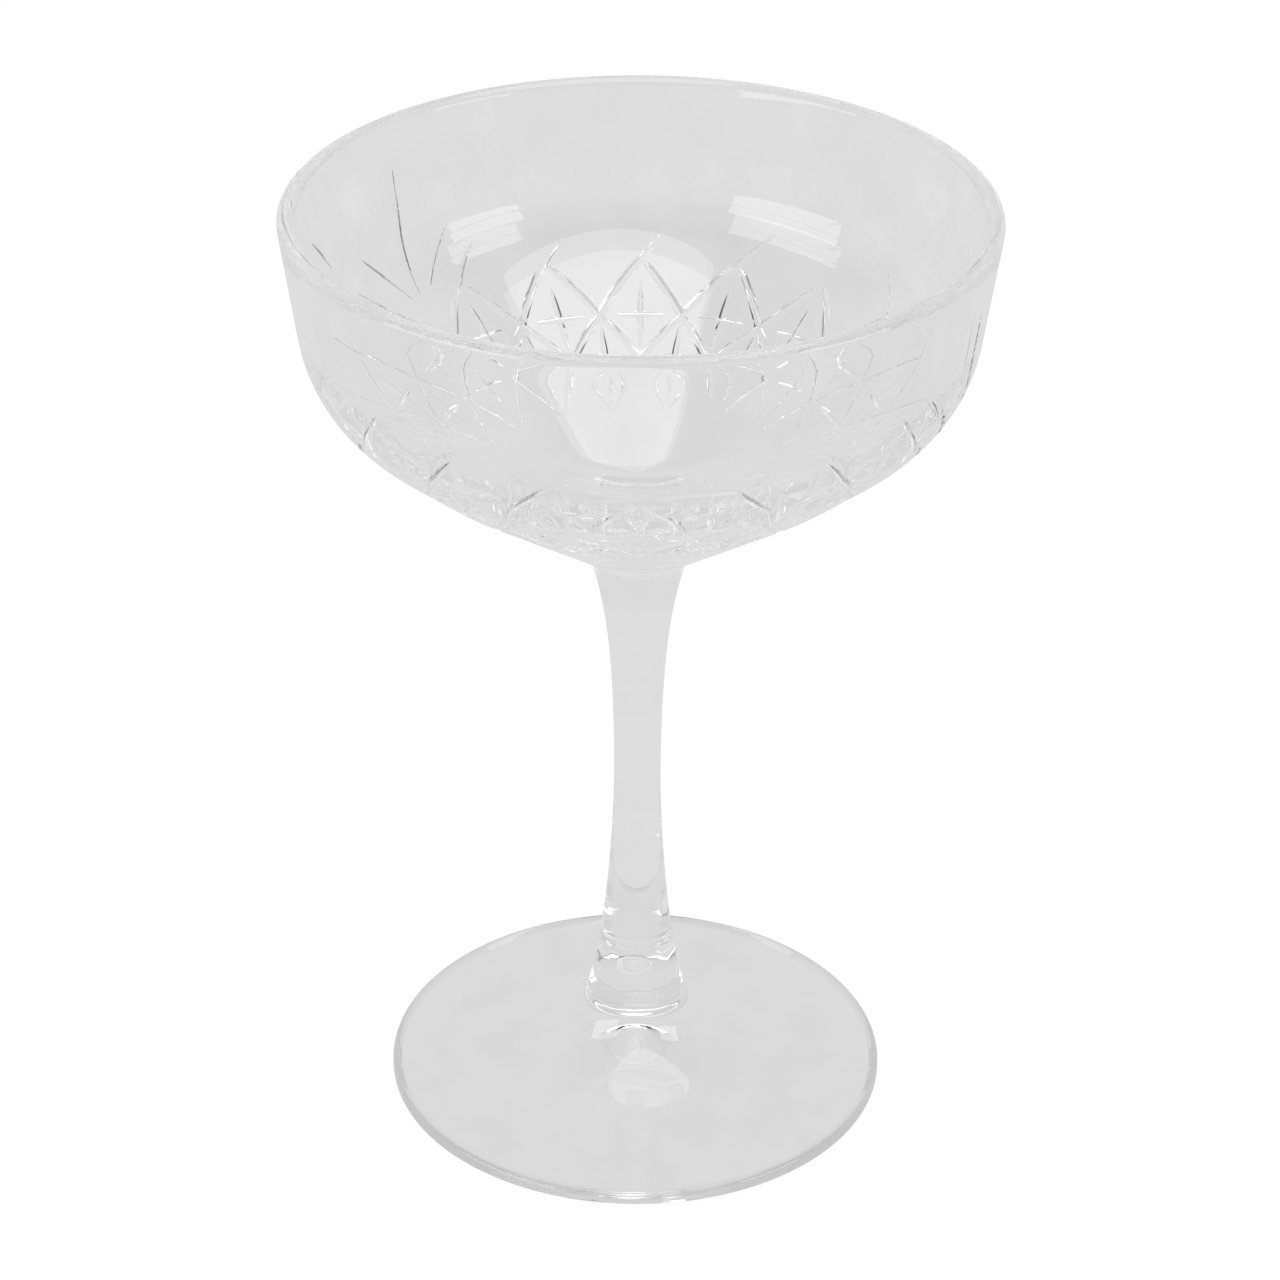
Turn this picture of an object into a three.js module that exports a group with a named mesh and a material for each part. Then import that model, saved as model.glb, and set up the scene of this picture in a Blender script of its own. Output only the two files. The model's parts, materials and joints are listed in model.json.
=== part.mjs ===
// Stemmed glass: a wide coupe of three pieces of clear glass, fused end to end on one upright axis.
// Millimetres, +Z up. The origin is on the table, under the middle of the foot.

import * as THREE from 'three';

// Heights, stacked from the table up: foot, stem, bowl
const FOOT_HEIGHT = 17;
const STEM_LENGTH = 74.5;
const BOWL_HEIGHT = 55.5;

// Radii of the two fused joints, shared by the pieces that meet there
const FOOT_WELD_RADIUS = 7;
const BOWL_WELD_RADIUS = 7.25;

// Bowl: a cone from the stem with a slight belly, a rounded shoulder and a slightly flared upright wall
const RIM_RADIUS = 51.4;
const SHOULDER_RADIUS = 47.8;
const SHOULDER_HEIGHT = 29.8;
const SHOULDER_ROUND = 20.6;
const BELLY_RADIUS = 33.4;
const BELLY_HEIGHT = 17.85;
const BELLY_ROUND = 60;
const RIM_WALL = 2.6;
const CONE_WALL = 4;
const FLOOR_ROUND = 25;
const LIP_ROUND_SHARE = 0.47;

// Stem: a waist between the two welds, with the slope of the glass at each weld
const WAIST_RADIUS = 3.55;
const WAIST_HEIGHT = 36.6;
const TOP_FLARE_SLOPE = 0.23;
const TOP_FLARE_REACH = 0.15;
const BOTTOM_FLARE_SLOPE = 0.25;
const BOTTOM_FLARE_REACH = 0.27;
const WAIST_REACH_UP = 0.7;
const WAIST_REACH_DOWN = 0.2;

// Foot: a disc with a cove up to the stem, standing on a flat ring round a hollow that peaks under the stem
const FOOT_RADIUS = 38.5;
const FOOT_EDGE = 2.6;
const EDGE_ROUND_SHARE = 0.7;
const EDGE_LOW_SHARE = 0.33;
const RING_OUTER_RADIUS = 37;
const RING_WIDTH = 5;
const HOLLOW_DEPTH = 8;
const HOLLOW_PEAK_REACH = 4.5;
const HOLLOW_SKIRT_RADIUS = 11;
const HOLLOW_SKIRT_HEIGHT = 0.8;
const COVE_DEPTH = 14;
const COVE_SPREAD = 13;
const COVE_TOP_SLOPE = 0.22;
const COVE_EDGE_SLOPE = 0.04;

// Fineness of the faceted solids
const FACETS_AROUND = 64;
const ROUND_STEPS = 8;
const BELLY_STEPS = 2;
const LIP_STEPS = 3;
const CURVE_STEPS = 10;

const GLASS = { color: 0xeef1f1, roughness: 0.04, metalness: 0 };

// A point of a half section: distance from the axis, height above the piece's own base
function at(radius, height) {
  return new THREE.Vector2(radius, height);
}

// Where the line from a to b meets the line from c to d
function crossing(a, b, c, d) {
  const along = b.clone().sub(a);
  const other = d.clone().sub(c);
  const share = c.clone().sub(a).cross(other) / along.cross(other);
  return a.clone().addScaledVector(along, share);
}

// The pair of points a and b, moved square to their line, to its left, by the given distance
function offsetLine(a, b, distance) {
  const way = b.clone().sub(a).normalize();
  const left = at(-way.y, way.x).multiplyScalar(distance);
  return [a.clone().add(left), b.clone().add(left)];
}

// Points of the arc that rounds a corner between two neighbours
function roundCorner(before, corner, after, radius, steps) {
  const back = before.clone().sub(corner).normalize();
  const ahead = after.clone().sub(corner).normalize();
  const halfAngle = Math.acos(THREE.MathUtils.clamp(back.dot(ahead), -1, 1)) / 2;
  const middle = back.clone().add(ahead).normalize();
  const centre = corner.clone().addScaledVector(middle, radius / Math.sin(halfAngle));
  const start = corner.clone().addScaledVector(back, radius / Math.tan(halfAngle)).sub(centre);
  const end = corner.clone().addScaledVector(ahead, radius / Math.tan(halfAngle)).sub(centre);
  const turn = Math.atan2(start.cross(end), start.dot(end));
  return Array.from({ length: steps + 1 }, (_, step) =>
    start.clone().rotateAround(at(0, 0), (turn * step) / steps).add(centre));
}

// Points of a cubic curve, without its first point
function curvePoints(from, fromHandle, toHandle, to, steps) {
  return new THREE.CubicBezierCurve(from, fromHandle, toHandle, to).getPoints(steps).slice(1);
}

// A closed solid turned from a half section that starts and ends on the axis
function turned(name, section, baseHeight) {
  const geometry = new THREE.LatheGeometry(section, FACETS_AROUND);
  geometry.rotateX(Math.PI / 2);
  const mesh = new THREE.Mesh(geometry, new THREE.MeshStandardMaterial(GLASS));
  mesh.name = name;
  mesh.position.z = baseHeight;
  return mesh;
}

// Half section of the foot, from the middle of the hollow out, over the edge and up the cove
function footSection() {
  const ringInner = at(RING_OUTER_RADIUS - RING_WIDTH, 0);
  const ringOuter = at(RING_OUTER_RADIUS, 0);
  const edgeRound = (FOOT_RADIUS - RING_OUTER_RADIUS) * EDGE_ROUND_SHARE;
  const edgeLow = at(FOOT_RADIUS, FOOT_EDGE * EDGE_LOW_SHARE);
  const edgeTop = at(FOOT_RADIUS, FOOT_EDGE);
  const coveStart = at(RING_OUTER_RADIUS, FOOT_EDGE + (FOOT_RADIUS - RING_OUTER_RADIUS) * COVE_EDGE_SLOPE);
  const weld = at(FOOT_WELD_RADIUS, FOOT_HEIGHT);
  const coveHandle = at(coveStart.x - COVE_SPREAD, coveStart.y + COVE_SPREAD * COVE_EDGE_SLOPE);
  const weldHandle = at(weld.x + COVE_DEPTH * COVE_TOP_SLOPE, weld.y - COVE_DEPTH);
  const peakHandle = at(HOLLOW_PEAK_REACH, HOLLOW_DEPTH);
  const skirtHandle = at(HOLLOW_SKIRT_RADIUS, HOLLOW_SKIRT_HEIGHT);
  return [
    at(0, HOLLOW_DEPTH),
    ...curvePoints(at(0, HOLLOW_DEPTH), peakHandle, skirtHandle, ringInner, CURVE_STEPS),
    ringOuter,
    edgeLow,
    ...roundCorner(edgeLow, edgeTop, coveStart, edgeRound, LIP_STEPS),
    coveStart,
    ...curvePoints(coveStart, coveHandle, weldHandle, weld, CURVE_STEPS),
    at(0, FOOT_HEIGHT),
  ];
}

// Half section of the stem, from the foot's weld through the waist to the bowl's weld
function stemSection() {
  const below = WAIST_HEIGHT;
  const above = STEM_LENGTH - WAIST_HEIGHT;
  const bottom = at(FOOT_WELD_RADIUS, 0);
  const waist = at(WAIST_RADIUS, WAIST_HEIGHT);
  const top = at(BOWL_WELD_RADIUS, STEM_LENGTH);
  const bottomPull = BOTTOM_FLARE_REACH * below;
  const topPull = TOP_FLARE_REACH * above;
  const bottomHandle = at(bottom.x - bottomPull * BOTTOM_FLARE_SLOPE, bottomPull);
  const topHandle = at(top.x - topPull * TOP_FLARE_SLOPE, STEM_LENGTH - topPull);
  const waistBelow = at(waist.x, waist.y - WAIST_REACH_DOWN * below);
  const waistAbove = at(waist.x, waist.y + WAIST_REACH_UP * above);
  return [
    at(0, 0),
    bottom,
    ...curvePoints(bottom, bottomHandle, waistBelow, waist, CURVE_STEPS),
    ...curvePoints(waist, waistAbove, topHandle, top, CURVE_STEPS),
    at(0, STEM_LENGTH),
  ];
}

// Half section of the bowl: up the outside, over the lip and down the inside to the middle of the floor
function bowlSection() {
  const weld = at(BOWL_WELD_RADIUS, 0);
  const belly = at(BELLY_RADIUS, BELLY_HEIGHT);
  const shoulder = at(SHOULDER_RADIUS, SHOULDER_HEIGHT);
  const rim = at(RIM_RADIUS, BOWL_HEIGHT);
  const [coneInner, coneTop] = offsetLine(weld, belly, CONE_WALL);
  const [bellyInner, bellyTop] = offsetLine(belly, shoulder, CONE_WALL);
  const [wallInner, wallTop] = offsetLine(shoulder, rim, RIM_WALL);
  const lip = crossing(wallInner, wallTop, at(0, BOWL_HEIGHT), rim);
  const corner = crossing(bellyInner, bellyTop, wallInner, wallTop);
  const innerBelly = crossing(coneInner, coneTop, bellyInner, bellyTop);
  const cornerRound = Math.max(SHOULDER_ROUND - (RIM_WALL + CONE_WALL) / 2, RIM_WALL);
  const point = crossing(coneInner, coneTop, at(0, 0), at(0, BOWL_HEIGHT));
  const mirrored = at(-innerBelly.x, innerBelly.y);
  const lipRound = RIM_WALL * LIP_ROUND_SHARE;
  const floor = roundCorner(innerBelly, point, mirrored, FLOOR_ROUND, ROUND_STEPS).slice(0, ROUND_STEPS / 2);
  const floorHeight = roundCorner(innerBelly, point, mirrored, FLOOR_ROUND, 2)[1].y;
  return [
    at(0, 0),
    weld,
    ...roundCorner(weld, belly, shoulder, BELLY_ROUND, BELLY_STEPS),
    ...roundCorner(belly, shoulder, rim, SHOULDER_ROUND, ROUND_STEPS),
    ...roundCorner(shoulder, rim, lip, lipRound, LIP_STEPS),
    ...roundCorner(rim, lip, corner, lipRound, LIP_STEPS),
    ...roundCorner(lip, corner, innerBelly, cornerRound, ROUND_STEPS),
    ...roundCorner(corner, innerBelly, point, BELLY_ROUND - CONE_WALL, BELLY_STEPS),
    ...floor,
    at(0, floorHeight),
  ];
}

const glass = new THREE.Group();
glass.add(turned('foot', footSection(), 0));
glass.add(turned('stem', stemSection(), FOOT_HEIGHT));
glass.add(turned('bowl', bowlSection(), FOOT_HEIGHT + STEM_LENGTH));

export default glass;
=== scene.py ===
"""The stemmed glass as it looks: three fused pieces of clear glass, the bowl with its cut ornament.

Metres, +Z up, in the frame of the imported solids. An angle round the glass is counted from +Y, the side away
from the camera, towards +X, the camera's right.
"""

import json
import logging
import math
from collections.abc import Sequence
from dataclasses import dataclass
from enum import Enum

import bmesh
import bpy
from mathutils import Matrix, Vector

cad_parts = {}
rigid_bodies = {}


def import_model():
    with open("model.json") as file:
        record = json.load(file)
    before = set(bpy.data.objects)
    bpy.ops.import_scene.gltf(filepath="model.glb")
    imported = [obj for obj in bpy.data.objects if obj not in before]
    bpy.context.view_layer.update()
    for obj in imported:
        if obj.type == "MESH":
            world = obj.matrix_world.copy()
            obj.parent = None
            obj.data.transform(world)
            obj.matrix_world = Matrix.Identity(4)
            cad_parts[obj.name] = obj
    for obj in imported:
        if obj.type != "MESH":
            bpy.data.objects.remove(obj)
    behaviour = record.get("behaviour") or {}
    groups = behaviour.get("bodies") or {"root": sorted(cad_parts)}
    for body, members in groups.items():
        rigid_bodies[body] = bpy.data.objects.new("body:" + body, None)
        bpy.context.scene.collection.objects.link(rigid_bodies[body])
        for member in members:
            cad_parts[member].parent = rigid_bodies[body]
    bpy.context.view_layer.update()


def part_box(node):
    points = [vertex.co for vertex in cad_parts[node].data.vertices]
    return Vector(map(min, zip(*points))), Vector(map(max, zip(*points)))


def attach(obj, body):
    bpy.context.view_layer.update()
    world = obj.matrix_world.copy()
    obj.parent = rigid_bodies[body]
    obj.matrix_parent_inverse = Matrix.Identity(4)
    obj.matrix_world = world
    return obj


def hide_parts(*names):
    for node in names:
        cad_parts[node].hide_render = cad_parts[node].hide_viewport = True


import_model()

LOG = logging.getLogger("stemmed_glass")
MM = 0.001
ROOT_BODY = "root"
FACETS_AROUND = 240
CREASE_ANGLE = math.radians(20)
LEVEL_ENOUGH = 0.999
JOINT_TOLERANCE = 0.01 * MM


# Node building

class Value:
    """A number that flows through a node tree: arithmetic on it adds Math nodes."""

    def __init__(self, sketch: "NodeSketch", socket: bpy.types.NodeSocket) -> None:
        """Keep the tree's builder and the socket that gives the number."""
        self.sketch = sketch
        self.socket = socket

    def _maths(self, operation: str, *terms: "float | Value") -> "Value":
        """Add one Math node.

        Args:
            operation: Blender's name of the operation.
            terms: The numbers or values that go in, in order.

        Returns:
            The node's result.
        """
        node = self.sketch.node("ShaderNodeMath", {"operation": operation}, dict(enumerate(terms)))
        return Value(self.sketch, node.outputs[0])

    def __add__(self, other: "float | Value") -> "Value":
        """Sum."""
        return self._maths("ADD", self, other)

    __radd__ = __add__

    def __sub__(self, other: "float | Value") -> "Value":
        """Difference."""
        return self._maths("SUBTRACT", self, other)

    def __rsub__(self, other: float) -> "Value":
        """Difference with the number first."""
        return self._maths("SUBTRACT", other, self)

    def __mul__(self, other: "float | Value") -> "Value":
        """Product."""
        return self._maths("MULTIPLY", self, other)

    __rmul__ = __mul__

    def __neg__(self) -> "Value":
        """The same size with the other sign."""
        return self._maths("SUBTRACT", 0.0, self)

    def largest(self, other: "float | Value") -> "Value":
        """The larger of the two."""
        return self._maths("MAXIMUM", self, other)

    def rising(self, low: float, high: float) -> "Value":
        """A smooth step.

        Args:
            low: Where the step leaves 0.
            high: Where the step reaches 1.

        Returns:
            The step's height, from 0 to 1.
        """
        node = self.sketch.node(
            "ShaderNodeMapRange",
            {"interpolation_type": "SMOOTHSTEP"},
            {"Value": self, "From Min": low, "From Max": high, "To Min": 0.0, "To Max": 1.0},
        )
        return Value(self.sketch, node.outputs["Result"])

    def between(self, low: float, high: float, soft: float) -> "Value":
        """A band with soft edges.

        Args:
            low: Middle of the lower edge.
            high: Middle of the upper edge.
            soft: Width of each edge.

        Returns:
            1 inside the band, 0 outside it.
        """
        half = soft / 2
        return self.rising(low - half, low + half) * (1 - self.rising(high - half, high + half))


class NodeSketch:
    """Builds one node tree."""

    def __init__(self, tree: bpy.types.NodeTree) -> None:
        """Start from an emptied tree."""
        self.tree = tree
        tree.nodes.clear()

    def node(self, kind: str, settings: dict | None = None, sockets: dict | None = None) -> bpy.types.Node:
        """Add a node.

        Args:
            kind: The node's type.
            settings: Its own settings, set first.
            sockets: Values, links or plain numbers for its inputs, by name or number.

        Returns:
            The new node.
        """
        made = self.tree.nodes.new(kind)
        for name, setting in (settings or {}).items():
            setattr(made, name, setting)
        for key, value in (sockets or {}).items():
            source = value.socket if isinstance(value, Value) else value
            if isinstance(source, bpy.types.NodeSocket):
                self.tree.links.new(source, made.inputs[key])
            else:
                made.inputs[key].default_value = source
        return made

    def value(self, node: bpy.types.Node, output: str | int = 0) -> Value:
        """One output of a node, as a value to calculate with."""
        return Value(self, node.outputs[output])

    def blend(self, factor: Value, low: tuple[float, ...], high: tuple[float, ...]) -> bpy.types.NodeSocket:
        """Mix two colours.

        Args:
            factor: 0 for the first colour, 1 for the second.
            low: The first colour.
            high: The second colour.

        Returns:
            The mixed colour's socket.
        """
        mix = self.node(
            "ShaderNodeMix",
            {"data_type": "RGBA"},
            {"Factor": factor, 6: (*low, 1.0), 7: (*high, 1.0)},
        )
        return mix.outputs[2]

    def axes(self, vector: bpy.types.NodeSocket) -> tuple[Value, Value, Value]:
        """The three parts of a vector."""
        split = self.node("ShaderNodeSeparateXYZ", None, {0: vector})
        return self.value(split, 0), self.value(split, 1), self.value(split, 2)


# Half sections: points are distance from the axis and height

def at(radius: float, height: float) -> Vector:
    """A point of a half section."""
    return Vector((radius, height))


def straight(start: Vector, end: Vector, steps: int) -> list[Vector]:
    """Points along a line, without its two ends."""
    return [start.lerp(end, step / steps) for step in range(1, steps)]


def crossing(a: Vector, b: Vector, c: Vector, d: Vector) -> Vector:
    """Where two lines meet.

    Args:
        a: A point of the first line.
        b: Another point of the first line.
        c: A point of the second line.
        d: Another point of the second line.

    Returns:
        The point on both lines.
    """
    along = b - a
    other = d - c
    return a + along * ((c - a).cross(other) / along.cross(other))


def offset_line(a: Vector, b: Vector, distance: float) -> tuple[Vector, Vector]:
    """Move a line to its left.

    Args:
        a: Where the line starts.
        b: Where it ends.
        distance: How far to move it.

    Returns:
        The start and the end of the moved line.
    """
    way = (b - a).normalized()
    left = Vector((-way.y, way.x)) * distance
    return a + left, b + left


def curve(start: Vector, start_handle: Vector, end_handle: Vector, end: Vector, steps: int) -> list[Vector]:
    """Points of a cubic curve.

    Args:
        start: First point, which isn't in the result.
        start_handle: Handle of the first point.
        end_handle: Handle of the last point.
        end: Last point.
        steps: How many points to make.

    Returns:
        The points after the first.
    """
    points = []
    for step in range(1, steps + 1):
        share = step / steps
        rest = 1 - share
        points.append(
            start * rest**3
            + start_handle * (3 * rest**2 * share)
            + end_handle * (3 * rest * share**2)
            + end * share**3
        )
    return points


@dataclass(frozen=True)
class Arc:
    """The arc that rounds a corner of a half section."""

    centre: Vector
    start: Vector
    turn: float

    @classmethod
    def rounding(cls, before: Vector, corner: Vector, after: Vector, radius: float) -> "Arc":
        """Round a corner.

        Args:
            before: A point on the line that comes in.
            corner: The corner.
            after: A point on the line that goes out.
            radius: The arc's radius.

        Returns:
            The arc that touches both lines.
        """
        back = (before - corner).normalized()
        ahead = (after - corner).normalized()
        half_angle = back.angle(ahead) / 2
        centre = corner + (back + ahead).normalized() * (radius / math.sin(half_angle))
        reach = radius / math.tan(half_angle)
        first = corner + back * reach - centre
        last = corner + ahead * reach - centre
        return cls(centre, first + centre, math.atan2(first.cross(last), first.dot(last)))

    def point(self, share: float) -> Vector:
        """The point at a share of the arc, from 0 to 1."""
        return self.centre + Matrix.Rotation(self.turn * share, 2) @ (self.start - self.centre)

    def points(self, steps: int) -> list[Vector]:
        """Points along the arc, with its two ends."""
        return [self.point(step / steps) for step in range(steps + 1)]

    def at_height(self, height: float) -> tuple[float, Vector]:
        """The arc's right-hand side at a height.

        Args:
            height: A height that the arc passes.

        Returns:
            Its distance from the axis, and its outward direction.
        """
        rise = height - self.centre.y
        reach = math.sqrt((self.start - self.centre).length_squared - rise**2)
        return self.centre.x + reach, Vector((reach, rise)).normalized()


def turned(name: str, section: Sequence[Vector]) -> bpy.types.Mesh:
    """Turn a half section about the axis into a closed mesh.

    Args:
        name: The mesh's name.
        section: Points from the axis round to the axis again.

    Returns:
        The mesh, smooth, with its faces outwards.
    """
    build = bmesh.new()
    rings = []
    for point in section[1:-1]:
        ring = []
        for step in range(FACETS_AROUND):
            angle = math.tau * step / FACETS_AROUND
            ring.append(build.verts.new(on_axis_turn(point.x, angle, point.y)))
        rings.append(ring)
    first = build.verts.new((0, 0, section[0].y))
    last = build.verts.new((0, 0, section[-1].y))
    for step in range(FACETS_AROUND):
        after = (step + 1) % FACETS_AROUND
        build.faces.new((first, rings[0][step], rings[0][after]))
        build.faces.new((last, rings[-1][after], rings[-1][step]))
        for low, high in zip(rings, rings[1:]):
            build.faces.new((low[step], high[step], high[after], low[after]))
    bmesh.ops.recalc_face_normals(build, faces=build.faces)
    mesh = bpy.data.meshes.new(name)
    build.to_mesh(mesh)
    build.free()
    mesh.shade_smooth()
    mesh.set_sharp_from_angle(angle=CREASE_ANGLE)
    return mesh


def on_axis_turn(radius: float, angle: float, height: float) -> Vector:
    """A point at an angle round the glass."""
    return Vector((radius * math.sin(angle), radius * math.cos(angle), height))


# Finishes

@dataclass(frozen=True)
class ClearGlass:
    """Clear pressed glass: faint handling marks, swirls at the lower joint and a painted shade that greys the
    edge of the foot.
    """

    name: str = "clear_pressed_glass"
    clear_tint: tuple[float, float, float] = (0.997, 0.997, 0.997)
    # The edge tint, radius and height below paint shade: the base colour greys towards the foot's outer edge,
    # low down.
    edge_shade_tint: tuple[float, float, float] = (0.84, 0.84, 0.84)
    cloud_share: float = 0.16
    edge_shade_radius: tuple[float, float] = (36.6 * MM, 38.3 * MM)
    edge_shade_height: tuple[float, float] = (2.9 * MM, 4 * MM)
    tint_scale: float = 120.0
    tint_range: tuple[float, float] = (0.4, 0.62)
    refraction: float = 1.52
    polish: float = 0.0
    smudge_roughness: float = 0.035
    smudge_scale: float = 130.0
    smudge_range: tuple[float, float] = (0.58, 0.75)
    swirl_scale: float = 330.0
    swirl_height: float = 0.16 * MM
    swirl_low: float = 15 * MM
    swirl_high: float = 25 * MM
    swirl_fade: float = 6 * MM

    def material(self) -> bpy.types.Material:
        """Make the material.

        Returns:
            The glass material.
        """
        material = bpy.data.materials.new(self.name)
        material.use_nodes = True
        sketch = NodeSketch(material.node_tree)
        place = sketch.node("ShaderNodeTexCoord").outputs["Object"]
        depth = self._noise(sketch, place, self.tint_scale, 4.0).rising(*self.tint_range)
        smudge = self._noise(sketch, place, self.smudge_scale, 4.0).rising(*self.smudge_range)
        swirl = self._noise(sketch, place, self.swirl_scale, 1.0)
        x, y, height = sketch.axes(place)
        inner, outer = self.edge_shade_radius
        # Painted shade: a greyer base colour near the foot's outer edge, fading out above its lowest few
        # millimetres.
        edge = (x * x + y * y).rising(inner**2, outer**2) * (1 - height.rising(*self.edge_shade_height))
        # The colour is a random cloudy tone, or the painted edge shade where that is stronger.
        tint = sketch.blend(edge.largest(depth * self.cloud_share), self.clear_tint, self.edge_shade_tint)
        near_joint = height.between(self.swirl_low, self.swirl_high, self.swirl_fade)
        bump = sketch.node(
            "ShaderNodeBump",
            None,
            {"Strength": 1.0, "Distance": self.swirl_height, "Height": swirl * near_joint},
        )
        shader = sketch.node(
            "ShaderNodeBsdfPrincipled",
            None,
            {
                "Base Color": tint,
                "Roughness": smudge * self.smudge_roughness + self.polish,
                "IOR": self.refraction,
                "Transmission Weight": 1.0,
                "Normal": bump.outputs["Normal"],
            },
        )
        sketch.node("ShaderNodeOutputMaterial", None, {"Surface": shader.outputs[0]})
        return material

    @staticmethod
    def _noise(sketch: NodeSketch, place: bpy.types.NodeSocket, scale: float, detail: float) -> Value:
        """A cloud pattern fixed to the piece."""
        sockets = {"Vector": place, "Scale": scale, "Detail": detail}
        return sketch.value(sketch.node("ShaderNodeTexNoise", None, sockets))


@dataclass(frozen=True)
class FusedJoint:
    """The two faces of a fused joint, which light passes as if they weren't there."""

    name: str = "fused_joint"
    tint: tuple[float, float, float, float] = (0.97, 0.975, 0.975, 1.0)

    def material(self) -> bpy.types.Material:
        """Make the material.

        Returns:
            The see-through material.
        """
        material = bpy.data.materials.new(self.name)
        material.use_nodes = True
        sketch = NodeSketch(material.node_tree)
        shader = sketch.node("ShaderNodeBsdfPrincipled", None, {"Base Color": self.tint, "Alpha": 0.0})
        sketch.node("ShaderNodeOutputMaterial", None, {"Surface": shader.outputs[0]})
        return material


# Pieces

@dataclass
class GlassPiece:
    """One of the three pieces of glass: where it stands and what it stands for."""

    node: str
    piece_name: str
    glass: bpy.types.Material
    joint: bpy.types.Material

    def show(self, mesh: bpy.types.Mesh, joint_heights: Sequence[float]) -> bpy.types.Object:
        """Put the finished mesh in the scene in place of its solid.

        Args:
            mesh: The piece's mesh, in place.
            joint_heights: Heights of the flat faces that are fused to the next piece.

        Returns:
            The piece's object.
        """
        mesh.materials.clear()
        mesh.materials.append(self.glass)
        mesh.materials.append(self.joint)
        for face in mesh.polygons:
            level = abs(face.normal.z) > LEVEL_ENOUGH
            fused = any(abs(face.center.z - height) < JOINT_TOLERANCE for height in joint_heights)
            face.material_index = 1 if level and fused else 0
        piece = bpy.data.objects.new(self.piece_name, mesh)
        bpy.context.scene.collection.objects.link(piece)
        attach(piece, ROOT_BODY)
        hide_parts(self.node)
        LOG.info("%s: %d faces", piece.name, len(mesh.polygons))
        return piece


@dataclass
class Foot(GlassPiece):
    """The disc foot: a cove up to the stem, a rounded edge and a hollow that peaks under the stem."""

    weld_radius: float = 7 * MM
    radius: float = 38.5 * MM
    edge: float = 2.6 * MM
    edge_round: float = 1.05 * MM
    edge_low: float = 0.858 * MM
    ring_outer: float = 37 * MM
    ring_width: float = 5 * MM
    ring_round: float = 0.5 * MM
    hollow: float = 8 * MM
    hollow_peak_reach: float = 4.5 * MM
    hollow_skirt: tuple[float, float] = (11 * MM, 0.8 * MM)
    cove_depth: float = 14 * MM
    cove_spread: float = 13 * MM
    cove_top_slope: float = 0.22
    cove_edge_slope: float = 0.04

    def section(self) -> list[Vector]:
        """Draw the half section.

        Returns:
            Points from the middle of the hollow out, over the edge and up the cove.
        """
        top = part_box(self.node)[1].z
        ring_inner = at(self.ring_outer - self.ring_width, 0)
        ring_outer = at(self.ring_outer, 0)
        edge_low = at(self.radius, self.edge_low)
        cove_rise = (self.radius - self.ring_outer) * self.cove_edge_slope
        cove_start = at(self.ring_outer, self.edge + cove_rise)
        weld = at(self.weld_radius, top)
        peak_handle = at(self.hollow_peak_reach, self.hollow)
        cove_handle = cove_start + at(-self.cove_spread, self.cove_spread * self.cove_edge_slope)
        weld_handle = weld + at(self.cove_depth * self.cove_top_slope, -self.cove_depth)
        middle = at(0, self.hollow)
        low_corner = Arc.rounding(ring_inner, ring_outer, edge_low, self.ring_round)
        edge = Arc.rounding(edge_low, at(self.radius, self.edge), cove_start, self.edge_round)
        return [
            middle,
            *curve(middle, peak_handle, at(*self.hollow_skirt), ring_inner, 32),
            *straight(ring_inner, low_corner.start, 4),
            *low_corner.points(4),
            edge_low,
            *edge.points(10),
            cove_start,
            *curve(cove_start, cove_handle, weld_handle, weld, 48),
            at(0, top),
        ]

    def build(self) -> bpy.types.Object:
        """Make and show the foot."""
        return self.show(turned(self.piece_name, self.section()), [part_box(self.node)[1].z])


@dataclass
class Stem(GlassPiece):
    """The solid stem: a waist between two flared ends."""

    foot_weld_radius: float = 7 * MM
    bowl_weld_radius: float = 7.25 * MM
    waist_radius: float = 3.55 * MM
    waist_height: float = 36.6 * MM
    top_slope: float = 0.23
    top_reach: float = 0.15
    bottom_slope: float = 0.25
    bottom_reach: float = 0.27
    waist_reach_up: float = 0.7
    waist_reach_down: float = 0.2

    def section(self) -> list[Vector]:
        """Draw the half section.

        Returns:
            Points from the foot's joint through the waist to the bowl's joint.
        """
        base, end = (corner.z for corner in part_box(self.node))
        bottom = at(self.foot_weld_radius, base)
        waist = at(self.waist_radius, base + self.waist_height)
        top = at(self.bowl_weld_radius, end)
        below = waist.y - base
        above = end - waist.y
        bottom_handle = bottom + at(-self.bottom_slope, 1) * (self.bottom_reach * below)
        top_handle = top + at(-self.top_slope, -1) * (self.top_reach * above)
        waist_below = waist + at(0, -self.waist_reach_down * below)
        waist_above = waist + at(0, self.waist_reach_up * above)
        return [
            at(0, base),
            bottom,
            *curve(bottom, bottom_handle, waist_below, waist, 48),
            *curve(waist, waist_above, top_handle, top, 48),
            at(0, end),
        ]

    def build(self) -> bpy.types.Object:
        """Make and show the stem."""
        heights = [corner.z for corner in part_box(self.node)]
        return self.show(turned(self.piece_name, self.section()), heights)


class Taper(Enum):
    """How the depth of a cut runs from end to end."""

    LINE = "fading out slowly below, ending short above"
    LONG_LINE = "fading out slowly at both ends"
    SPEAR = "deepest in the middle, pointed at both ends"


@dataclass(frozen=True)
class Cut:
    """One groove, or a few that don't touch, with the places that it is repeated at."""

    name: str
    guides: tuple[tuple[tuple[float, float], ...], ...]
    depth: float
    half_width: float
    taper: Taper
    first: float
    copies: int


@dataclass(frozen=True)
class Burst:
    """A fan and the lattice lines after it: spears that lean right, a plain line, spears that lean left."""

    fan: float
    right_spears: int
    left_spears: int


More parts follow.
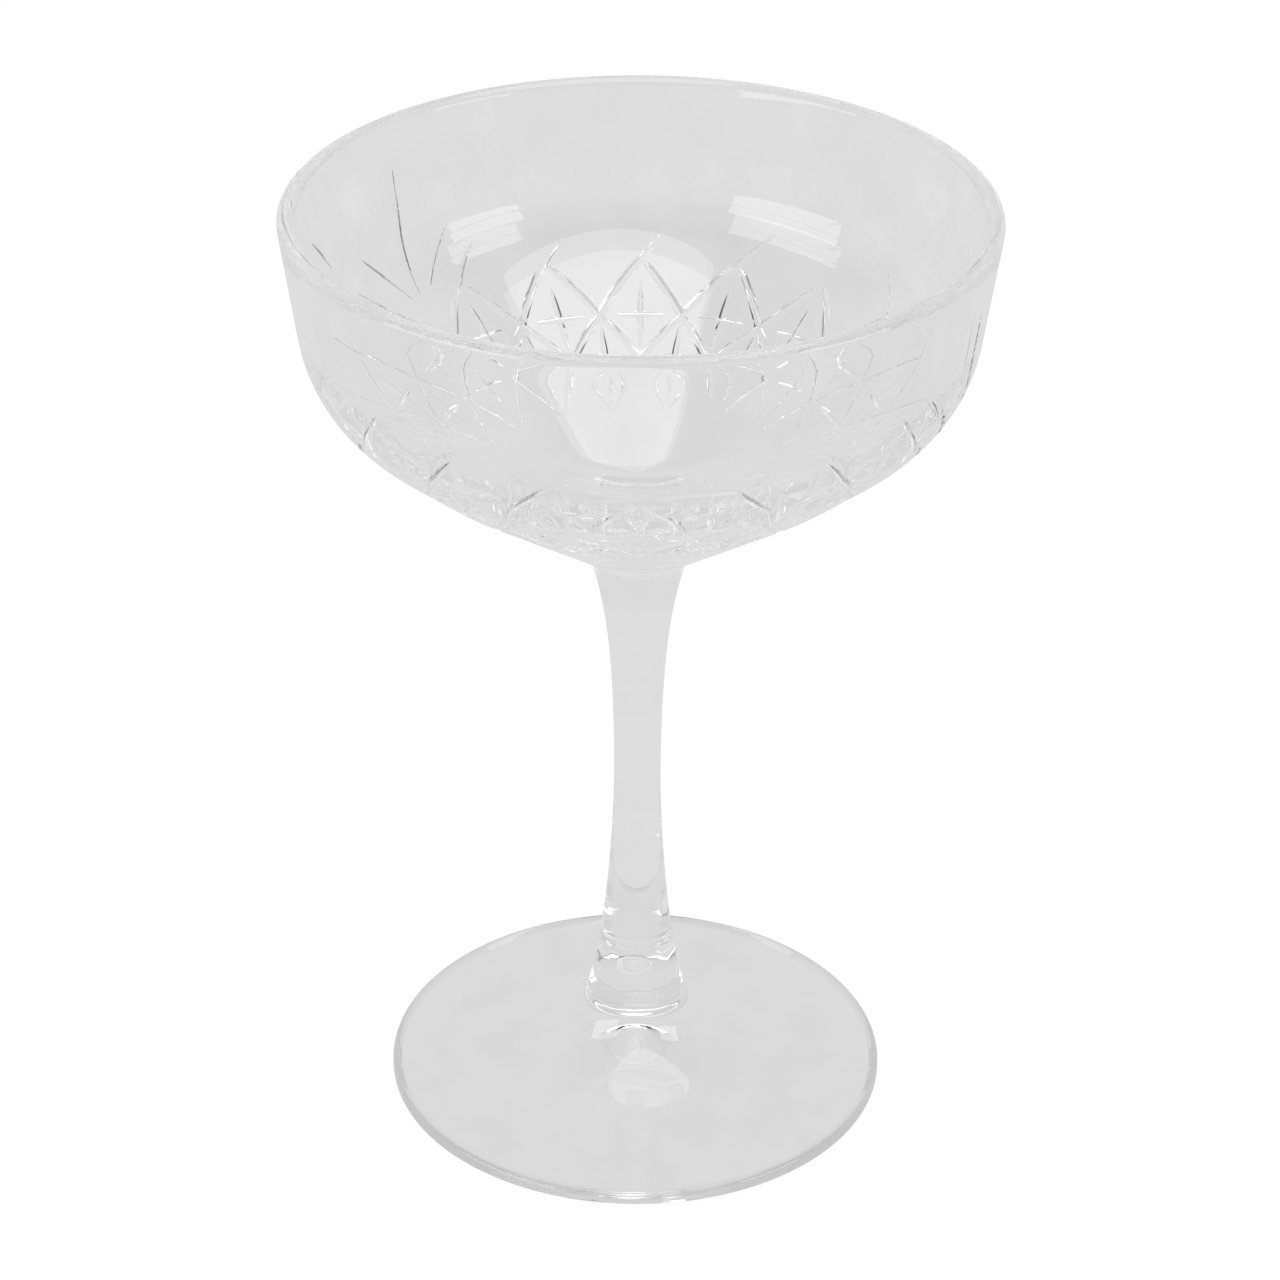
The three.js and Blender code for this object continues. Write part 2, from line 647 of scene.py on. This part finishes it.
@dataclass(frozen=True)
class CutPattern:
    """The traditional ornament: a diamond lattice with a star in each diamond, spear cuts and fans above it.

    Heights are above the table. Angles are in degrees.
    """

    pitch: float = 20.0
    bursts: tuple[Burst, ...] = (Burst(-50.0, 4, 3), Burst(110.0, 3, 6))
    tooth_height: float = 102.9 * MM
    tooth_reach: float = 0.96
    low_height: float = 107.6 * MM
    middle_height: float = 112.4 * MM
    top_height: float = 118.7 * MM
    spear_height: float = 124.3 * MM
    spear_turn: float = 6.7
    lattice_depth: float = 0.52 * MM
    lattice_half_width: float = 0.68 * MM
    star_depth: float = 0.43 * MM
    star_half_width: float = 0.58 * MM
    star_rise: float = 3.8 * MM
    star_turn: float = 6.3
    low_star_lift: float = 0.4 * MM
    fan_depth: float = 0.42 * MM
    fan_half_width: float = 0.6 * MM
    fan_base: float = 118.7 * MM
    blade_height: float = 139.2 * MM
    blade_lean: float = 0.6
    side_blade_turn: tuple[float, float] = (2.2, 11.9)
    side_blade_height: float = 128.2 * MM
    outer_blade_turn: tuple[float, float] = (22.5, 30.8)
    outer_blade_heights: tuple[float, float] = (130.2 * MM, 137.2 * MM)

    def _lattice(self, name: str, lean: int, first: float, copies: int, spear: bool) -> Cut:
        """One way of the lattice.

        Args:
            name: The cut's name.
            lean: 1 if the line leans right as it rises, -1 if left.
            first: Angle of the first line's crossing at the top of the lattice.
            copies: How many lines there are.
            spear: Whether the line goes on above the lattice.

        Returns:
            The cut.
        """
        half = self.pitch / 2
        points = [
            (-(2 + self.tooth_reach) * half * lean, self.tooth_height),
            (-2 * half * lean, self.low_height),
            (-half * lean, self.middle_height),
            (0.0, self.top_height),
        ]
        taper = Taper.LINE
        if spear:
            points.append((self.spear_turn * lean, self.spear_height))
            taper = Taper.LONG_LINE
        guides = (tuple(points),)
        return Cut(name, guides, self.lattice_depth, self.lattice_half_width, taper, first, copies)

    def _star(self, name: str, upright: bool) -> Cut:
        """The upright or the level arms of the stars in both rows.

        Args:
            name: The cut's name.
            upright: Upright arms, or else level ones.

        Returns:
            The cut.
        """
        rows = ((0.0, self.middle_height), (self.pitch / 2, self.low_height + self.low_star_lift))
        guides = []
        for turn, height in rows:
            if upright:
                guides.append(((turn, height - self.star_rise), (turn, height + self.star_rise)))
            else:
                guides.append(((turn - self.star_turn, height), (turn + self.star_turn, height)))
        copies = round(360 / self.pitch)
        return Cut(name, tuple(guides), self.star_depth, self.star_half_width, Taper.SPEAR, 0.0, copies)

    def _fan(self, name: str, middle: float) -> Cut:
        """The blades of a fan, between the lines that lean away from it, and one more out on its left.

        Args:
            name: The cut's name.
            middle: Angle of the tall blade.

        Returns:
            The cut.
        """
        near, far = self.side_blade_turn
        outer_near, outer_far = self.outer_blade_turn
        outer_low, outer_high = self.outer_blade_heights
        guides = (
            ((0.0, self.fan_base), (self.blade_lean, self.blade_height)),
            ((-near, self.fan_base), (-far, self.side_blade_height)),
            ((near, self.fan_base), (far, self.side_blade_height)),
            ((-outer_near, outer_low), (-outer_far, outer_high)),
        )
        return Cut(name, guides, self.fan_depth, self.fan_half_width, Taper.SPEAR, middle, 1)

    def cuts(self) -> list[Cut]:
        """List the cuts.

        Returns:
            Every cut, in the order that they are made in.
        """
        made = []
        for number, burst in enumerate(self.bursts):
            first = burst.fan + self.pitch / 2
            plain = first + burst.right_spears * self.pitch
            after = plain + self.pitch
            right = burst.right_spears
            left = burst.left_spears
            made.append(self._lattice(f"right_spear_{number}", 1, first, right, True))
            made.append(self._lattice(f"right_line_{number}", 1, plain, left + 1, False))
            made.append(self._lattice(f"left_line_{number}", -1, first, right + 1, False))
            made.append(self._lattice(f"left_spear_{number}", -1, after, left, True))
            made.append(self._fan(f"fan_{number}", burst.fan))
        made.append(self._star("upright_star_arm", True))
        made.append(self._star("level_star_arm", False))
        return made


class CutRing:
    """Node tree that turns one cutter about the glass and takes every copy out of the bowl."""

    def __init__(self) -> None:
        """Build the tree and keep its inputs' identifiers."""
        self.tree = bpy.data.node_groups.new("cut_ring", "GeometryNodeTree")
        self.ids: dict[str, str] = {}
        self._add_input("Bowl", "NodeSocketGeometry")
        self._add_input("Cutter", "NodeSocketObject")
        self._add_input("First angle", "NodeSocketFloat")
        self._add_input("Step angle", "NodeSocketFloat")
        self._add_input("Copies", "NodeSocketInt")
        self._add_input("Glass", "NodeSocketMaterial")
        self.tree.interface.new_socket("Bowl", in_out="OUTPUT", socket_type="NodeSocketGeometry")
        self._build()

    def _add_input(self, name: str, kind: str) -> None:
        """Add a named input to the tree."""
        socket = self.tree.interface.new_socket(name, in_out="INPUT", socket_type=kind)
        self.ids[name] = socket.identifier

    def _build(self) -> None:
        """Lay out the nodes."""
        sketch = NodeSketch(self.tree)
        given = sketch.node("NodeGroupInput").outputs
        index = sketch.value(sketch.node("GeometryNodeInputIndex"))
        turn = Value(sketch, given["First angle"]) + index * Value(sketch, given["Step angle"])
        spots = sketch.node("GeometryNodeMeshLine", None, {"Count": given["Copies"], "Offset": (0, 0, 0)})
        cutter = sketch.node("GeometryNodeObjectInfo", None, {"Object": given["Cutter"]})
        rotation = sketch.node(
            "FunctionNodeAxisAngleToRotation",
            None,
            {"Axis": (0, 0, -1), "Angle": turn},
        )
        ring = sketch.node(
            "GeometryNodeInstanceOnPoints",
            None,
            {
                "Points": spots.outputs["Mesh"],
                "Instance": cutter.outputs["Geometry"],
                "Rotation": rotation.outputs["Rotation"],
            },
        )
        cutters = sketch.node("GeometryNodeRealizeInstances", None, {"Geometry": ring.outputs["Instances"]})
        cut = sketch.node(
            "GeometryNodeMeshBoolean",
            {"operation": "DIFFERENCE", "solver": "MANIFOLD"},
            {"Mesh 1": given["Bowl"], "Mesh 2": cutters.outputs["Geometry"]},
        )
        whole = sketch.node("GeometryNodeRealizeInstances", None, {"Geometry": cut.outputs["Mesh"]})
        coated = sketch.node(
            "GeometryNodeSetMaterial",
            None,
            {"Geometry": whole.outputs["Geometry"], "Material": given["Glass"]},
        )
        sketch.node("NodeGroupOutput", None, {0: coated.outputs["Geometry"]})

    def apply_to(
        self,
        blank: bpy.types.Object,
        cutter: bpy.types.Object,
        cut: Cut,
        step: float,
        glass: bpy.types.Material,
    ) -> None:
        """Add this ring to the bowl as a modifier.

        Args:
            blank: The bowl.
            cutter: The cutter at angle 0.
            cut: The cut that the cutter makes.
            step: Angle between neighbours, in degrees.
            glass: The material of the cut bowl.
        """
        modifier = blank.modifiers.new(cut.name, "NODES")
        modifier.node_group = self.tree
        modifier[self.ids["Cutter"]] = cutter
        modifier[self.ids["First angle"]] = math.radians(cut.first)
        modifier[self.ids["Step angle"]] = math.radians(step)
        modifier[self.ids["Copies"]] = cut.copies
        modifier[self.ids["Glass"]] = glass


@dataclass
class Bowl(GlassPiece):
    """The coupe bowl: a cone with a slight belly, a rounded shoulder and an upright wall, cut outside."""

    weld_radius: float = 7.25 * MM
    rim_radius: float = 51.39 * MM
    shoulder_radius: float = 47.8 * MM
    shoulder_rise: float = 29.8 * MM
    shoulder_round: float = 20.6 * MM
    belly_radius: float = 33.4 * MM
    belly_rise: float = 17.85 * MM
    belly_round: float = 60 * MM
    rim_wall: float = 2.6 * MM
    cone_wall: float = 4 * MM
    floor_round: float = 25 * MM
    lip_round: float = 1.222 * MM
    pattern: CutPattern = CutPattern()
    cutter_step: float = 0.52 * MM
    cutter_lift: float = 0.25 * MM
    cutter_end_width: float = 0.2
    guide_steps: int = 40
    short_fade: float = 2 * MM
    long_fade: float = 8 * MM
    end_lift: float = 0.012 * MM
    groove_steps: int = 10
    groove_start: float = 0.012 * MM
    groove_round: float = 0.1
    skin_depth: float = 0.009 * MM

    def __post_init__(self) -> None:
        """Work out the lines and arcs of the half section."""
        self.base, self.top = (corner.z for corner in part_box(self.node))
        self.weld = at(self.weld_radius, self.base)
        belly = at(self.belly_radius, self.base + self.belly_rise)
        shoulder = at(self.shoulder_radius, self.base + self.shoulder_rise)
        rim = at(self.rim_radius, self.top)
        cone_inner, cone_top = offset_line(self.weld, belly, self.cone_wall)
        belly_inner, belly_top = offset_line(belly, shoulder, self.cone_wall)
        wall_inner, wall_top = offset_line(shoulder, rim, self.rim_wall)
        lip = crossing(wall_inner, wall_top, at(0, self.top), rim)
        corner = crossing(belly_inner, belly_top, wall_inner, wall_top)
        inner_belly = crossing(cone_inner, cone_top, belly_inner, belly_top)
        point = crossing(cone_inner, cone_top, at(0, 0), at(0, self.top))
        inner_round = self.shoulder_round - (self.rim_wall + self.cone_wall) / 2
        self.belly_arc = Arc.rounding(self.weld, belly, shoulder, self.belly_round)
        self.shoulder_arc = Arc.rounding(belly, shoulder, rim, self.shoulder_round)
        self.outer_lip = Arc.rounding(shoulder, rim, lip, self.lip_round)
        self.inner_lip = Arc.rounding(rim, lip, corner, self.lip_round)
        self.inner_arc = Arc.rounding(lip, corner, inner_belly, inner_round)
        self.inner_belly_arc = Arc.rounding(corner, inner_belly, point, self.belly_round - self.cone_wall)
        self.floor_arc = Arc.rounding(inner_belly, point, at(-inner_belly.x, inner_belly.y), self.floor_round)

    def section(self) -> list[Vector]:
        """Draw the half section.

        Returns:
            Points up the outside, over the lip and down the inside.
        """
        belly = self.belly_arc.points(6)
        shoulder = self.shoulder_arc.points(24)
        outer_lip = self.outer_lip.points(8)
        inner_lip = self.inner_lip.points(8)
        inner = self.inner_arc.points(24)
        inner_belly = self.inner_belly_arc.points(6)
        floor = [self.floor_arc.point(step / 24) for step in range(12)]
        return [
            at(0, self.base),
            self.weld,
            *straight(self.weld, belly[0], 14),
            *belly,
            *straight(belly[-1], shoulder[0], 6),
            *shoulder,
            *straight(shoulder[-1], outer_lip[0], 6),
            *outer_lip,
            *inner_lip,
            *straight(inner_lip[-1], inner[0], 6),
            *inner,
            *straight(inner[-1], inner_belly[0], 6),
            *inner_belly,
            *straight(inner_belly[-1], floor[0], 10),
            *floor,
            at(0, self.floor_arc.point(0.5).y),
        ]

    def outside(self, height: float) -> tuple[float, Vector]:
        """The outer surface at a height.

        Args:
            height: Height above the table.

        Returns:
            Its radius, and its outward direction in the half section.
        """
        start = self.weld
        for arc in (self.belly_arc, self.shoulder_arc, self.outer_lip):
            if height < arc.start.y or arc is self.outer_lip:
                way = (arc.start - start).normalized()
                share = (height - start.y) / (arc.start.y - start.y)
                return start.lerp(arc.start, share).x, Vector((way.y, -way.x))
            start = arc.point(1)
            if height <= start.y:
                return arc.at_height(height)
        raise ValueError(height)

    def surface(self, angle: float, height: float) -> tuple[Vector, Vector]:
        """A point on the outer surface and its outward direction."""
        radius, outward = self.outside(height)
        return on_axis_turn(radius, angle, height), on_axis_turn(outward.x, angle, outward.y)

    def stations(self, guide: Sequence[tuple[float, float]]) -> list[tuple[Vector, Vector, float]]:
        """Points along a guide on the outer surface.

        Args:
            guide: Corners of the guide, as angle in degrees and height.

        Returns:
            Place, outward direction and share of the length, at even steps.
        """
        fine = []
        for (angle, height), (next_angle, next_height) in zip(guide, guide[1:]):
            for step in range(self.guide_steps):
                share = step / self.guide_steps
                turn = math.radians(angle + (next_angle - angle) * share)
                fine.append(self.surface(turn, height + (next_height - height) * share))
        fine.append(self.surface(math.radians(guide[-1][0]), guide[-1][1]))
        reach = [0.0]
        for (place, _), (next_place, _) in zip(fine, fine[1:]):
            reach.append(reach[-1] + (next_place - place).length)
        count = max(8, round(reach[-1] / self.cutter_step))
        picked = []
        index = 0
        for step in range(count + 1):
            wanted = reach[-1] * step / count
            while index < len(reach) - 2 and reach[index + 1] < wanted:
                index += 1
            share = (wanted - reach[index]) / (reach[index + 1] - reach[index])
            place = fine[index][0].lerp(fine[index + 1][0], share)
            outward = fine[index][1].lerp(fine[index + 1][1], share).normalized()
            picked.append((place, outward, step / count))
        return picked

    def _shape(self, cut: Cut, share: float, length: float) -> float:
        """How deep a cut is at a place along it.

        Args:
            cut: The cut.
            share: The place, as a share of the cut's length.
            length: The cut's length.

        Returns:
            The share of the cut's full depth.
        """
        if cut.taper is Taper.SPEAR:
            return 1 - (2 * share - 1) ** 2
        top_fade = self.short_fade if cut.taper is Taper.LINE else self.long_fade
        return min(1.0, share * length / self.long_fade, (1 - share) * length / top_fade)

    def _groove(self, half_width: float, depth: float) -> list[tuple[float, float]]:
        """Cross section of a cutter: a vee with a rounded bottom, and a lid above the skin.

        Args:
            half_width: Half the groove's width.
            depth: Its depth in the middle, negative where the cutter is clear of the glass.

        Returns:
            Pairs of distance to the side and height above the skin, in order round the section.
        """
        points = []
        span = math.hypot(1, self.groove_round)
        for step in range(self.groove_steps + 1):
            share = 2 * step / self.groove_steps - 1
            vee = (span - math.hypot(share, self.groove_round)) / (span - self.groove_round)
            points.append((half_width * share, self.groove_start - (depth + self.groove_start) * vee))
        points.append((half_width, self.cutter_lift))
        points.append((-half_width, self.cutter_lift))
        return points

    def cutter(self, cut: Cut) -> bpy.types.Object:
        """Sweep the groove's section along each guide of a cut.

        Args:
            cut: The cut.

        Returns:
            The cutter's object.
        """
        build = bmesh.new()
        for guide in cut.guides:
            stations = self.stations(guide)
            places = [place for place, _, _ in stations]
            length = sum((b - a).length for a, b in zip(places, places[1:]))
            rows = []
            for index, (place, outward, share) in enumerate(stations):
                ahead = places[min(index + 1, len(places) - 1)] - places[max(index - 1, 0)]
                side = ahead.cross(outward).normalized()
                shape = self._shape(cut, share, length)
                depth = (cut.depth + self.end_lift) * shape - self.end_lift
                width_share = self.cutter_end_width + (1 - self.cutter_end_width) * shape
                half_width = cut.half_width * width_share
                section = self._groove(half_width, depth)
                rows.append([build.verts.new(place + side * across + outward * up) for across, up in section])
            build.faces.new(rows[0])
            build.faces.new(rows[-1])
            for row, after in zip(rows, rows[1:]):
                for one in range(len(row)):
                    two = (one + 1) % len(row)
                    build.faces.new((row[one], row[two], after[two], after[one]))
        bmesh.ops.recalc_face_normals(build, faces=build.faces)
        bmesh.ops.triangulate(build, faces=build.faces)
        mesh = bpy.data.meshes.new(cut.name)
        build.to_mesh(mesh)
        build.free()
        made = bpy.data.objects.new(cut.name, mesh)
        bpy.context.scene.collection.objects.link(made)
        return made

    def cut_mesh(self) -> bpy.types.Mesh:
        """Turn the bowl and take every cut out of it.

        Returns:
            The cut bowl's mesh.
        """
        blank = bpy.data.objects.new("bowl_blank", turned("bowl_blank", self.section()))
        bpy.context.scene.collection.objects.link(blank)
        ring = CutRing()
        scratch = [blank]
        for cut in self.pattern.cuts():
            cutter = self.cutter(cut)
            ring.apply_to(blank, cutter, cut, self.pattern.pitch, self.glass)
            scratch.append(cutter)
        graph = bpy.context.evaluated_depsgraph_get()
        mesh = bpy.data.meshes.new_from_object(blank.evaluated_get(graph), depsgraph=graph)
        blank.modifiers.clear()
        for thing in scratch:
            bpy.data.meshes.remove(thing.data)
        mesh.name = self.piece_name
        return mesh

    def polish(self, mesh: bpy.types.Mesh) -> None:
        """Give the uncut skin its true smooth directions; the grooves keep their own.

        Args:
            mesh: The cut bowl.
        """
        mesh.shade_smooth()
        mesh.set_sharp_from_angle(angle=CREASE_ANGLE)
        normals = [corner.vector.copy() for corner in mesh.corner_normals]
        lip_start = self.outer_lip.start.y
        skin: dict[int, Vector] = {}
        for vertex in mesh.vertices:
            place = vertex.co
            if not self.base < place.z < lip_start:
                continue
            radius, outward = self.outside(place.z)
            under = (radius - math.hypot(place.x, place.y)) * outward.x
            if under < self.skin_depth:
                skin[vertex.index] = on_axis_turn(outward.x, math.atan2(place.x, place.y), outward.y)
        for face in mesh.polygons:
            if all(index in skin for index in face.vertices):
                for loop, index in zip(face.loop_indices, face.vertices):
                    normals[loop] = skin[index]
        mesh.normals_split_custom_set(normals)

    def build(self) -> bpy.types.Object:
        """Make and show the cut bowl.

        Returns:
            The bowl's object.
        """
        mesh = self.cut_mesh()
        self.polish(mesh)
        return self.show(mesh, [self.base])


# Stage

class LampKind(Enum):
    """The two kinds of flat soft light, by the shape that Blender gives them."""

    SOFTBOX = "ELLIPSE"
    WINDOW = "RECTANGLE"


@dataclass(frozen=True)
class Lamp:
    """A flat soft light: a softbox faces straight down, a window faces the bowl."""

    name: str
    kind: LampKind
    place: tuple[float, float, float]
    size: tuple[float, float]
    tone: float

    @property
    def area(self) -> float:
        """Area of the lit face."""
        share = math.pi / 4 if self.kind is LampKind.SOFTBOX else 1.0
        return self.size[0] * self.size[1] * share

    def facing(self, aim: Vector) -> Vector:
        """Direction that the lit face looks in, for a window towards the aim."""
        return Vector((0, 0, -1)) if self.kind is LampKind.SOFTBOX else aim - Vector(self.place)


@dataclass
class Stage:
    """Floor, light and camera.

    The backdrop, the horizon and the camera side are bounded by parts of the direction that a ray leaves in.
    """

    floor_glow: float = 0.93
    paper_colour: tuple[float, float, float, float] = (0.12, 0.12, 0.12, 1.0)
    floor_tone: float = 0.737
    foot_shade: float = 0.024
    foot_shade_edge: tuple[float, float] = (30 * MM, 50 * MM)
    studio_tone: float = 0.34
    backdrop_tone: float = 0.72
    backdrop_start: tuple[float, float] = (0.1, 0.4)
    horizon: tuple[float, float] = (0.1, 0.3)
    camera_side_tone: float = 0.04
    camera_side_start: tuple[float, float] = (0.3, 0.5)
    camera_side_width: tuple[float, float, float] = (-0.6, 0.6, 0.2)
    camera_side_rise: tuple[float, float, float] = (0.3, 0.78, 0.15)
    even_tone: float = 0.65
    even_bounces: tuple[float, float] = (6.5, 9.5)
    ambient: float = 0.35
    light_bounces: int = 48
    floor_size: float = 6.0
    floor_drop: float = 0.1 * MM
    aim_height: float = 0.12
    lamps: tuple[Lamp, ...] = (
        Lamp("softbox", LampKind.SOFTBOX, (0.155, -0.3, 1.1), (0.92, 1.48), 1.6),
        Lamp("window_left", LampKind.WINDOW, (-0.402, -0.264, 0.216), (0.4, 0.2), 2.3),
        Lamp("window_right", LampKind.WINDOW, (0.423, -0.23, 0.253), (0.26, 0.15), 2.5),
    )
    camera_place: tuple[float, float, float] = (0.0, -0.50136, 0.36)
    camera_dip: float = 29.467
    camera_roll: float = 0.38
    camera_lens: float = 108.19
    camera_shift: float = 0.0014

    def _evened(self, sketch: NodeSketch, tone: "float | Value") -> Value:
        """What a ray sees that comes to a part of the studio.

        Args:
            sketch: The part's node tree.
            tone: The part's own tone.

        Returns:
            That tone, or an even one for a ray that wandered long in the glass.
        """
        bounces = sketch.value(sketch.node("ShaderNodeLightPath"), "Ray Depth")
        return tone + bounces.rising(*self.even_bounces) * (self.even_tone - tone)

    def build_world(self) -> None:
        """White to the camera; to the glass a pale backdrop, a dimmer room and a dark camera side."""
        world = bpy.data.worlds.new("studio")
        bpy.context.scene.world = world
        world.use_nodes = True
        sketch = NodeSketch(world.node_tree)
        x, y, z = sketch.axes(sketch.node("ShaderNodeTexCoord").outputs["Generated"])
        rays = sketch.node("ShaderNodeLightPath")
        camera = sketch.value(rays, "Is Camera Ray")
        seen = sketch.value(rays, "Is Glossy Ray").largest(sketch.value(rays, "Is Transmission Ray"))
        facing = x.between(*self.camera_side_width) * z.between(*self.camera_side_rise)
        camera_side = (-y).rising(*self.camera_side_start) * facing
        backdrop = y.rising(*self.backdrop_start).largest(1 - z.rising(*self.horizon))
        tone = self.studio_tone + backdrop * (self.backdrop_tone - self.studio_tone)
        tone = tone - camera_side * (tone - self.camera_side_tone)
        other = seen * self._evened(sketch, tone) + (1 - seen) * self.ambient
        strength = camera + (1 - camera) * other
        background = sketch.node("ShaderNodeBackground", None, {"Color": (1, 1, 1, 1), "Strength": strength})
        sketch.node("ShaderNodeOutputWorld", None, {"Surface": background.outputs[0]})

    def build_floor(self) -> None:
        """A pale floor: white to the camera with the glass's soft shadow, backdrop tone to the glass."""
        half = self.floor_size / 2
        mesh = bpy.data.meshes.new("floor")
        corners = [(-half, -half), (half, -half), (half, half), (-half, half)]
        mesh.from_pydata([(x, y, -self.floor_drop) for x, y in corners], [], [(0, 1, 2, 3)])
        floor = bpy.data.objects.new("floor", mesh)
        bpy.context.scene.collection.objects.link(floor)
        material = bpy.data.materials.new("pale_floor")
        material.use_nodes = True
        sketch = NodeSketch(material.node_tree)
        x, y, _ = sketch.axes(sketch.node("ShaderNodeTexCoord").outputs["Object"])
        rays = sketch.node("ShaderNodeLightPath")
        seen = sketch.value(rays, "Is Glossy Ray").largest(sketch.value(rays, "Is Transmission Ray"))
        inner, outer = self.foot_shade_edge
        under_foot = 1 - (x * x + y * y).rising(inner**2, outer**2)
        card_tone = self.floor_tone - under_foot * self.foot_shade
        glow = sketch.node("ShaderNodeEmission", None, {"Strength": self.floor_glow})
        paper = sketch.node("ShaderNodeBsdfDiffuse", None, {"Color": self.paper_colour})
        lit = sketch.node("ShaderNodeAddShader", None, {0: glow.outputs[0], 1: paper.outputs[0]})
        card = sketch.node("ShaderNodeEmission", None, {"Strength": self._evened(sketch, card_tone)})
        mixed = sketch.node("ShaderNodeMixShader", None, {0: seen, 1: lit.outputs[0], 2: card.outputs[0]})
        sketch.node("ShaderNodeOutputMaterial", None, {"Surface": mixed.outputs[0]})
        mesh.materials.append(material)

    def build_lamp(self, lamp: Lamp) -> None:
        """Hang one soft light.

        Args:
            lamp: Its kind, place, size and tone.
        """
        light = bpy.data.lights.new(lamp.name, "AREA")
        light.shape = lamp.kind.value
        light.size, light.size_y = lamp.size
        light.energy = lamp.tone * math.pi * lamp.area
        light.use_nodes = True
        sketch = NodeSketch(light.node_tree)
        strength = self._evened(sketch, lamp.tone) * (1 / lamp.tone)
        glow = sketch.node("ShaderNodeEmission", None, {"Strength": strength})
        sketch.node("ShaderNodeOutputLight", None, {"Surface": glow.outputs[0]})
        holder = bpy.data.objects.new(lamp.name, light)
        towards = lamp.facing(Vector((0, 0, self.aim_height)))
        turn = towards.to_track_quat("-Z", "Y").to_matrix().to_4x4()
        holder.matrix_world = Matrix.Translation(lamp.place) @ turn
        holder.visible_camera = False
        bpy.context.scene.collection.objects.link(holder)

    def build_camera(self) -> None:
        """The camera at the photograph's place and angle."""
        camera = bpy.data.cameras.new("camera")
        camera.lens = self.camera_lens
        camera.shift_x = self.camera_shift
        holder = bpy.data.objects.new("camera", camera)
        aim = Matrix.Rotation(math.radians(90 - self.camera_dip), 4, "X")
        roll = Matrix.Rotation(math.radians(self.camera_roll), 4, "Z")
        holder.matrix_world = Matrix.Translation(self.camera_place) @ aim @ roll
        bpy.context.scene.collection.objects.link(holder)
        bpy.context.scene.camera = holder

    def build(self) -> None:
        """Set everything up, with enough bounces for light to find its way out of thick glass."""
        scene = bpy.context.scene
        scene.view_settings.view_transform = "Standard"
        scene.cycles.max_bounces = self.light_bounces
        scene.cycles.glossy_bounces = self.light_bounces
        scene.cycles.transmission_bounces = self.light_bounces
        self.build_world()
        self.build_floor()
        for lamp in self.lamps:
            self.build_lamp(lamp)
        self.build_camera()


def main() -> None:
    """Build the pieces and the stage; each piece logs its face count."""
    logging.basicConfig(level=logging.INFO, format="%(name)s: %(message)s")
    glass = ClearGlass().material()
    joint = FusedJoint().material()
    Foot("foot", "glass_foot", glass, joint).build()
    Stem("stem", "glass_stem", glass, joint).build()
    Bowl("bowl", "glass_bowl", glass, joint).build()
    Stage().build()


if __name__ == "__main__":
    main()
